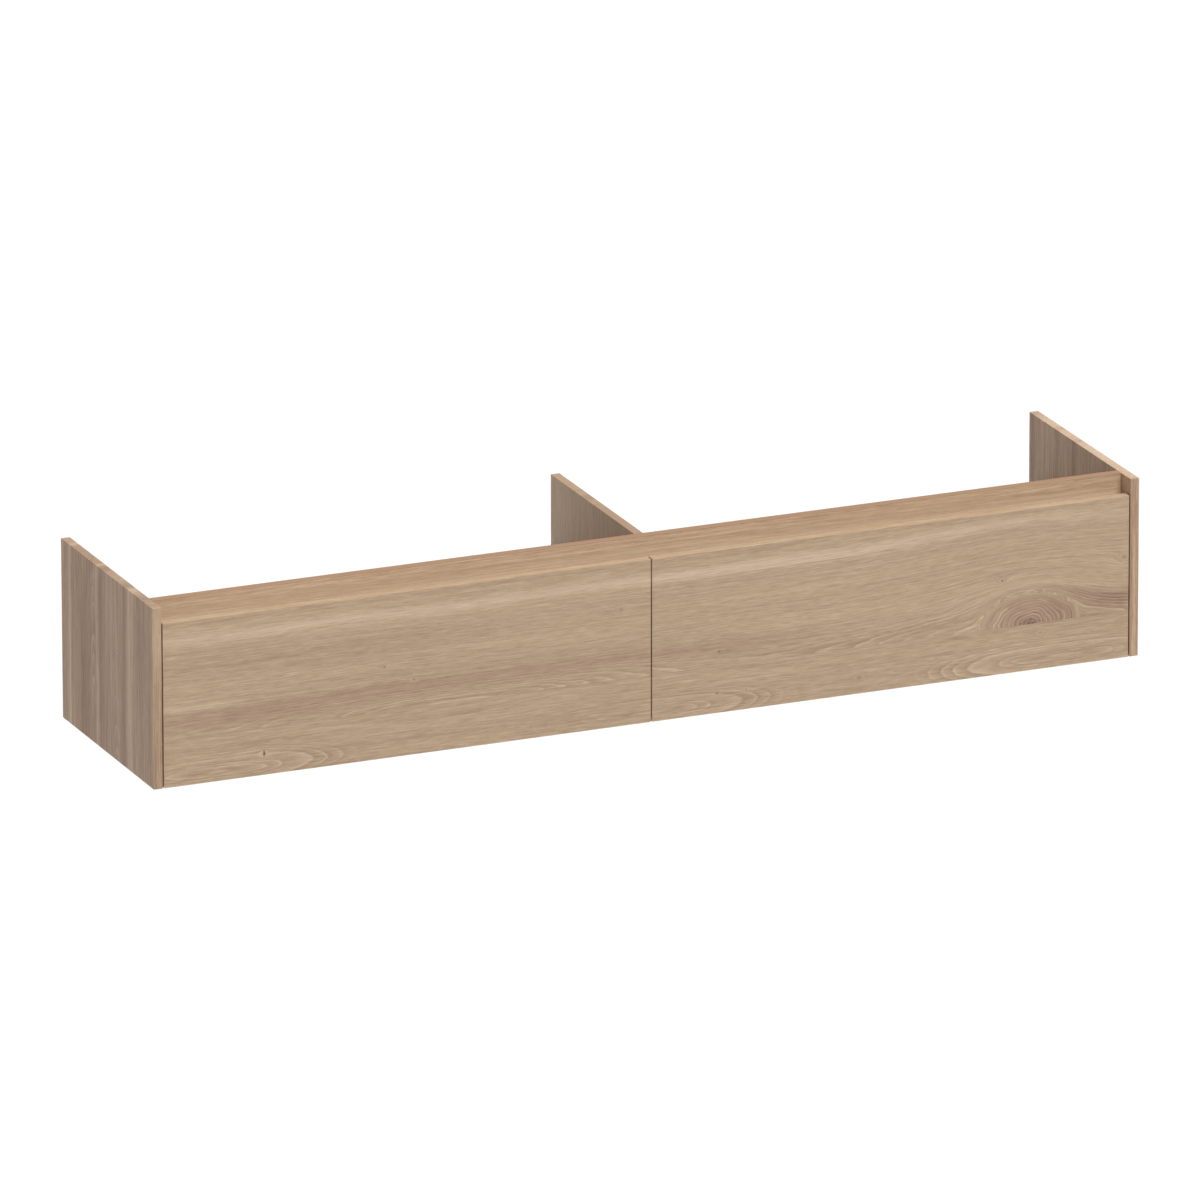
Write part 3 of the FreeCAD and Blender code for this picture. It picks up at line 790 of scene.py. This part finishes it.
def cross_head(shape, bores, seat, inward, length, radius=3.5, height=1.6, shank=1.7):
    """Domed screw head on a seat, with a cross recess and a shank that goes inward."""
    shape.turned(seat, inward, [(-height, 0), (-height, radius * 0.5), (-height * 0.8, radius * 0.8),
                                (-height * 0.35, radius), (0, radius), (0, shank),
                                (length - 2.0, shank), (length, 0)])
    arms = ((radius * 0.58, 0.5), (0.5, radius * 0.58))
    for first, second in arms:
        spans, sides = [], [first, second]
        for middle, way in zip(seat, inward):
            if way:
                tip = middle - way * height
                spans.append((tip - way * 0.5, tip + way * height * 0.6))
            else:
                side = sides.pop()
                spans.append((middle - side, middle + side))
        bores.block(*spans, radius=0)


BAYS = (("left", -1), ("right", 1))
SIDE_FACE = 982.0
PARTITION_FACE = 9.0
FRONT_BACK = -442.0
CARCASS_FRONT = -440.0

# Runners. Profiles are drawn as pairs of distance off the bay's wall and height.
SHEET = 1.2
SHEET_BEND = 2.2
CABINET_RAIL_Y = (-438, -38)
CABINET_RAIL = [(0.6, 56), (0.6, 22.6), (45.4, 22.6), (45.4, 36)]
CHANNEL_LIP = [(24, 23), (25.2, 23), (25.2, 36), (24, 36)]
SLIDING_RAIL_Y = (-420, -50)
SLIDING_RAIL = [(35.6, 41.2), (41.8, 41.2), (41.8, 27.8), (28.2, 27.8), (28.2, 41.2), (34.4, 41.2)]
DRAWER_RAIL_Y = (-424, -60)
DRAWER_RAIL = [(24.6, 38), (24.6, 46.4), (45.4, 46.4), (45.4, 38)]
HOOK_Y = (-60, -58.8)
HOOK = [(30, 46), (40, 46), (40, 66), (30, 66)]
RUNNER_SLOTS_Y = (-360, -320, -280, -200, -160, -120)
RUNNER_SLOT = (12, 4.4)
RUNNER_SCREWS_Y = (-400, -240, -80)
RUNNER_HOLES_Z = 47.0
FLOOR_HOLE_OFF = 12.0
FLOOR_HOLE_RADIUS = 2.4

# Soft-close dampers, beside the cabinet rails
DAMPER_OFF = (46, 60)
DAMPER_BODY_Y = (-168, -52)
DAMPER_BODY_Z = (23.8, 36.2)
DAMPER_COLLARS_Y = ((-170, -159), (-61, -50))
DAMPER_COLLAR_Z = (23, 37)
DAMPER_RIBS_Y = (-154, -66)
DAMPER_ROD = (53, -170, 30)
DAMPER_MOUTH = [(0, 4.2), (1.2, 4.2), (1.8, 3.6), (1.8, 0)]
ROD_PROFILE = [(-4, 1.4), (27, 1.4), (27, 2.0), (33, 2.0), (34, 1.2), (34, 0)]

# Hangers on the back rails, each with its plate on the wall
HANGERS_X = (54.0, 937.0)
HANGER_Z = 165.0
HOUSING_HALF = 22
EARS_HALF = 31
ADJUSTERS_Z = (146, 186)
ADJUSTER_HEAD = (4.5, 2.5, 2.4)
HANGER_HOOK = [(-48, 154), (-42, 154), (-42, 168), (-7.5, 168), (-7.5, 154), (-3.5, 154), (-3.5, 178),
               (-48, 178)]
HOOK_HALF = 3
FIXING_SCREW_OFF = 26.5
EAR_FACE = -38.5
HOUSING_FACE = -52.0
PLATE = 2.5
PLATE_HALF = 30
PLATE_PATH = [(-1.25, 110), (-1.25, 152.75), (-9.25, 152.75), (-9.25, 168)]
PLATE_BEND = 3.2
PLATE_HOLE = (18, 125, 3.0)

# Drawer fittings
BOX_SIDE_OFF = 20.0
ANGLE = 2.0
ANGLE_PATH = [(20, 1), (1, 1), (1, 20)]
ANGLE_BEND = 2.8
ANGLE_Z = (110, 160)
GUSSET = [(1.5, 1.5), (8, 1.5), (1.5, 8)]
GUSSETS_Z = (129, 139)
ANGLE_SCREWS_Z = (121, 149)
ANGLE_SCREW_OFF = 13.0
CATCH_OFF = (47, 77)
TONGUE_OFF = (28, 49)
LEVER_OFF = (52, 72)
EAR_THICKNESS = 3
CATCH_EARS_OFF = (48.6, 72.4)
CATCH_EAR = [(-400, 38), (-400, 29), (-392, 29), (-392, 38)]
LEVER_RIBS_Y = (-434, -429, -424, -419)
LEVER_PIN = (48.6, -396, 32.75)
PIN_PROFILE = [(0, 1.3), (0.2, 1.5), (3.4, 1.5), (3.4, 2.6), (23.4, 2.6), (23.4, 1.5), (26.6, 1.5),
               (26.8, 1.3)]

# Bumper pads behind the fronts
PADS = ((40, 9), (950, 9), (5, 200))
PAD_PROFILE = [(0, 3.5), (0.9, 3.5), (1.4, 3.0), (1.7, 1.8), (1.7, 0)]


def walls(sign):
    """The two walls of a bay, each with the way into the bay."""
    return (("inner", sign * PARTITION_FACE, sign), ("outer", sign * SIDE_FACE, -sign))


def off_wall(wall, inward, points):
    """Points given by their distance off a wall, in the frame."""
    return [(wall + inward * off, other) for off, other in points]


def span_off(wall, inward, near, far):
    """Span between two distances off a wall."""
    return wall + inward * near, wall + inward * far


def punch_runner(punches, wall, inward, y):
    """A slot in the flange of the cabinet rail, and a round hole in its floor below."""
    reach, rise = RUNNER_SLOT[0] / 2, RUNNER_SLOT[1] / 2
    z = RUNNER_HOLES_Z
    slot = [(y - reach, z - rise), (y + reach, z - rise), (y + reach, z + rise), (y - reach, z + rise)]
    punches.prism(rounded(slot, 2.0), "x", (wall - 3, wall + 3))
    punches.turned((wall + inward * FLOOR_HOLE_OFF, y, 20), (0, 0, 1),
                   [(0, FLOOR_HOLE_RADIUS), (5, FLOOR_HOLE_RADIUS)])


def make_runners(steel_look, zinc, grey):
    screws, crosses = Shape(), Shape()
    damper, rods = Shape(), Shape()
    for bay, sign in BAYS:
        for which, wall, inward in walls(sign):
            side = bay + "_" + which + "_"
            fixed, punches = Shape(), Shape()
            bent = ribbon(CABINET_RAIL, SHEET, SHEET_BEND)
            fixed.prism(off_wall(wall, inward, bent), "y", CABINET_RAIL_Y)
            fixed.prism(off_wall(wall, inward, rounded(CHANNEL_LIP, 0.5)), "y", CABINET_RAIL_Y)
            for y in RUNNER_SLOTS_Y:
                punch_runner(punches, wall, inward, y)
            stand_in(fixed, side + "cabinet_rail", steel_look, punches)

            sliding = Shape()
            bent = ribbon(SLIDING_RAIL, SHEET, SHEET_BEND)
            sliding.prism(off_wall(wall, inward, bent), "y", SLIDING_RAIL_Y)
            stand_in(sliding, side + "sliding_rail", steel_look)

            moving = Shape()
            bent = ribbon(DRAWER_RAIL, SHEET, SHEET_BEND)
            moving.prism(off_wall(wall, inward, bent), "y", DRAWER_RAIL_Y)
            moving.prism(off_wall(wall, inward, rounded(HOOK, 2.5)), "y", HOOK_Y)
            stand_in(moving, side + "drawer_rail", steel_look)

            for y in RUNNER_SCREWS_Y:
                seat = (wall + inward * SHEET, y, RUNNER_HOLES_Z)
                cross_head(screws, crosses, seat, (-inward, 0, 0), 9.0)
            make_damper(damper, rods, wall, inward)
    stand_in(screws, "runner_screws", zinc, crosses)
    stand_in(damper, "soft_close_dampers", grey)
    stand_in(rods, "soft_close_dampers", zinc, slot="zinc")


def make_damper(body, rods, wall, inward):
    """Soft-close cylinder: ribbed housing with collars, and a rod with a buffer on its end."""
    near, far = span_off(wall, inward, *DAMPER_OFF)
    body.block((near + inward * 0.8, far - inward * 0.8), DAMPER_BODY_Y, DAMPER_BODY_Z, 2.5, 3)
    for collar in DAMPER_COLLARS_Y:
        body.block((near, far), collar, DAMPER_COLLAR_Z, 2.0, 3)
    for z in (27, 30, 33):
        body.block((far - inward * 1.2, far - inward * 0.2), DAMPER_RIBS_Y, (z - 0.6, z + 0.6), 0.4)
    for x in (near + inward * 4, near + inward * 7, near + inward * 10):
        body.block((x - 0.6, x + 0.6), DAMPER_RIBS_Y, (35.8, 36.8), 0.4)
    off, y, z = DAMPER_ROD
    body.turned((wall + inward * off, y, z), (0, -1, 0), DAMPER_MOUTH)
    rods.turned((wall + inward * off, y, z), (0, -1, 0), ROD_PROFILE)


def make_housing(housing, pockets, x):
    """Hanger housing: hollow shell with ears, gussets, a raised field and two screw bosses."""
    housing.block((x - HOUSING_HALF, x + HOUSING_HALF), (HOUSING_FACE + 0.6, -36), (135, 195), 2.6, 3)
    housing.block((x - EARS_HALF, x + EARS_HALF), (EAR_FACE, -36), (145, 185), 1.1)
    housing.block((x - 15, x + 15), (HOUSING_FACE, HOUSING_FACE + 1.4), (154, 178), 0.7)
    for z in ADJUSTERS_Z:
        housing.turned((x, HOUSING_FACE + 1.2, z), (0, -1, 0), [(0, 7.5), (1.0, 7.2), (1.2, 6.8), (1.2, 0)])
    for z in (151, 179):
        for side in (-1, 1):
            web = [(x + side * 21, -47), (x + side * 21, -38), (x + side * 29, -38)]
            housing.prism(web, "z", (z - 1, z + 1))
    pockets.block((x - 19, x + 19), (-49.5, -30), (138, 192), 1.0)


def make_hangers(grey, steel_look, zinc):
    housing, pockets, hooks = Shape(), Shape(), Shape()
    adjusters, adjuster_crosses = Shape(), Shape()
    fixings, fixing_crosses = Shape(), Shape()
    plates, holes = Shape(), Shape()
    for _, sign in BAYS:
        for distance in HANGERS_X:
            x = sign * distance
            make_housing(housing, pockets, x)
            hooks.prism(rounded(HANGER_HOOK, 1.6), "x", (x - HOOK_HALF, x + HOOK_HALF))
            for z in ADJUSTERS_Z:
                seat = (x, HOUSING_FACE, z)
                cross_head(adjusters, adjuster_crosses, seat, (0, 1, 0), 7.0, *ADJUSTER_HEAD)
            for side in (-FIXING_SCREW_OFF, FIXING_SCREW_OFF):
                cross_head(fixings, fixing_crosses, (x + side, EAR_FACE, HANGER_Z), (0, 1, 0), 14.0)
            plates.prism(ribbon(PLATE_PATH, PLATE, PLATE_BEND), "x", (x - PLATE_HALF, x + PLATE_HALF))
            off, z, radius = PLATE_HOLE
            for side in (-off, off):
                holes.turned((x + side, 2, z), (0, -1, 0), [(0, radius), (8, radius)])
    stand_in(housing, "hanger_housings", grey, pockets)
    stand_in(hooks, "hanger_hooks", steel_look)
    stand_in(adjusters, "hanger_adjusting_screws", zinc, adjuster_crosses)
    stand_in(fixings, "hanger_fixing_screws", zinc, fixing_crosses)
    stand_in(plates, "wall_plates", steel_look, holes)


def make_front_brackets(brackets, screws, crosses, wall, inward):
    """Pressed angle in the corner of box side and front, with gussets and four screws."""
    inside = wall + inward * BOX_SIDE_OFF
    for outline, spans in ((ribbon(ANGLE_PATH, ANGLE, ANGLE_BEND), (ANGLE_Z,)),
                           (GUSSET, [(z, z + 2) for z in GUSSETS_Z])):
        corner = [(inside + inward * off, FRONT_BACK + y) for off, y in outline]
        for span in spans:
            brackets.prism(corner, "z", span)
    for z in ANGLE_SCREWS_Z:
        into_front = (inside + inward * ANGLE_SCREW_OFF, FRONT_BACK + ANGLE, z)
        into_side = (inside + inward * ANGLE, FRONT_BACK + ANGLE_SCREW_OFF, z)
        cross_head(screws, crosses, into_front, (0, -1, 0), 14.0)
        cross_head(screws, crosses, into_side, (-inward, 0, 0), 12.0)


def make_catch_and_lever(catches, levers, wall, inward):
    """Catch with its tongue and ears, and the ribbed release lever on its pin."""
    catches.block(span_off(wall, inward, *CATCH_OFF), (-441, -391), (36, 47), 1.6, 3)
    catches.block(span_off(wall, inward, *TONGUE_OFF), (-438, -426), (42.5, 46), 0.8)
    for near in CATCH_EARS_OFF:
        catches.prism(rounded(CATCH_EAR, 3.0), "x", span_off(wall, inward, near, near + EAR_THICKNESS))
    levers.block(span_off(wall, inward, *LEVER_OFF), (-440, -396), (31, 34.5), 0.9)
    levers.block(span_off(wall, inward, *LEVER_OFF), (-440, -437), (28.5, 34.5), 0.9)
    for y in LEVER_RIBS_Y:
        levers.block(span_off(wall, inward, 54, 70), (y, y + 1.6), (30.4, 31.4), 0.3)
    off, y, z = LEVER_PIN
    levers.turned((wall + inward * off, y, z), (inward, 0, 0), PIN_PROFILE)


def make_drawer_fittings(steel_look, zinc, grey, lever_plastic):
    for bay, sign in BAYS:
        brackets, screws, crosses = Shape(), Shape(), Shape()
        catches, levers = Shape(), Shape()
        for _, wall, inward in walls(sign):
            make_front_brackets(brackets, screws, crosses, wall, inward)
            make_catch_and_lever(catches, levers, wall, inward)
        drawer = bay + "_drawer_"
        stand_in(brackets, drawer + "front_brackets", steel_look)
        stand_in(screws, drawer + "bracket_screws", zinc, crosses)
        stand_in(catches, drawer + "catches", grey)
        stand_in(levers, bay + "_release_levers", lever_plastic)


def make_pads(clear):
    pads = Shape()
    for _, sign in BAYS:
        for x, z in PADS:
            pads.turned((sign * x, CARCASS_FRONT, z), (0, -1, 0), PAD_PROFILE)
    stand_in(pads, "bumper_pads", clear)


# ---------------------------------------------------------------- room, light and camera

def make_floor():
    """Pale floor far below the cabinet."""
    bpy.ops.mesh.primitive_plane_add(size=FLOOR_SIZE, location=(0, 0, cad_low.z - FLOOR_DROP))
    floor = bpy.context.object
    floor.name = "floor"
    g = Graph("pale_floor")
    x, y, z = g.position()
    mottle = g.noise(x * 3.0, y * 3.0, z, 3.0)
    tint = g.blend(g.clamp(mottle * 0.2 + 0.5), (0.79, 0.81, 0.86), (0.81, 0.83, 0.88))
    g.finish(tint, 0.9, Specular_IOR_Level=0.0)
    floor.data.materials.append(g.material)


def make_light():
    """Pale sky, a white ground past the edge of the floor, and one large soft light from above."""
    world = bpy.data.worlds.new("studio")
    world.use_nodes = True
    sky = world.node_tree.nodes["Background"]
    sky.inputs["Color"].default_value = (*SKY_COLOUR, 1.0)
    nodes, links = world.node_tree.nodes, world.node_tree.links
    split = nodes.new("ShaderNodeSeparateXYZ")
    links.new(nodes.new("ShaderNodeTexCoord").outputs["Generated"], split.inputs[0])
    below = nodes.new("ShaderNodeMath")
    below.operation = "LESS_THAN"
    links.new(split.outputs["Z"], below.inputs[0])
    below.inputs[1].default_value = 0.0
    strength = nodes.new("ShaderNodeMath")
    strength.operation = "MULTIPLY_ADD"
    links.new(below.outputs[0], strength.inputs[0])
    strength.inputs[1].default_value = GROUND_STRENGTH - SKY_STRENGTH
    strength.inputs[2].default_value = SKY_STRENGTH
    links.new(strength.outputs[0], sky.inputs["Strength"])
    bpy.context.scene.world = world
    data = bpy.data.lights.new("key", "SUN")
    data.energy = KEY_STRENGTH
    data.color = KEY_COLOUR
    data.angle = KEY_SOFTNESS
    lamp = bpy.data.objects.new("key", data)
    lamp.rotation_euler = KEY_FROM.to_track_quat("Z", "Y").to_euler()
    bpy.context.scene.collection.objects.link(lamp)


def make_camera():
    data = bpy.data.cameras.new("camera")
    data.lens = VIEW_LENS
    data.clip_start = 0.1
    data.clip_end = 200.0
    camera = bpy.data.objects.new("camera", data)
    aim = (cad_low + cad_high) / 2 + AIM_OFFSET
    towards = Vector((math.sin(VIEW_AZIMUTH) * math.cos(VIEW_ELEVATION),
                      math.cos(VIEW_AZIMUTH) * math.cos(VIEW_ELEVATION), -math.sin(VIEW_ELEVATION)))
    turn = towards.to_track_quat("-Z", "Y").to_matrix() @ Matrix.Rotation(VIEW_ROLL, 3, "Z")
    camera.matrix_world = Matrix.Translation(aim - towards * VIEW_DISTANCE) @ turn.to_4x4()
    bpy.context.scene.collection.objects.link(camera)
    bpy.context.scene.camera = camera


make_camera()
make_light()
make_floor()
paint_oak()
paint_hardware()
bpy.context.scene.view_settings.view_transform = "Standard"
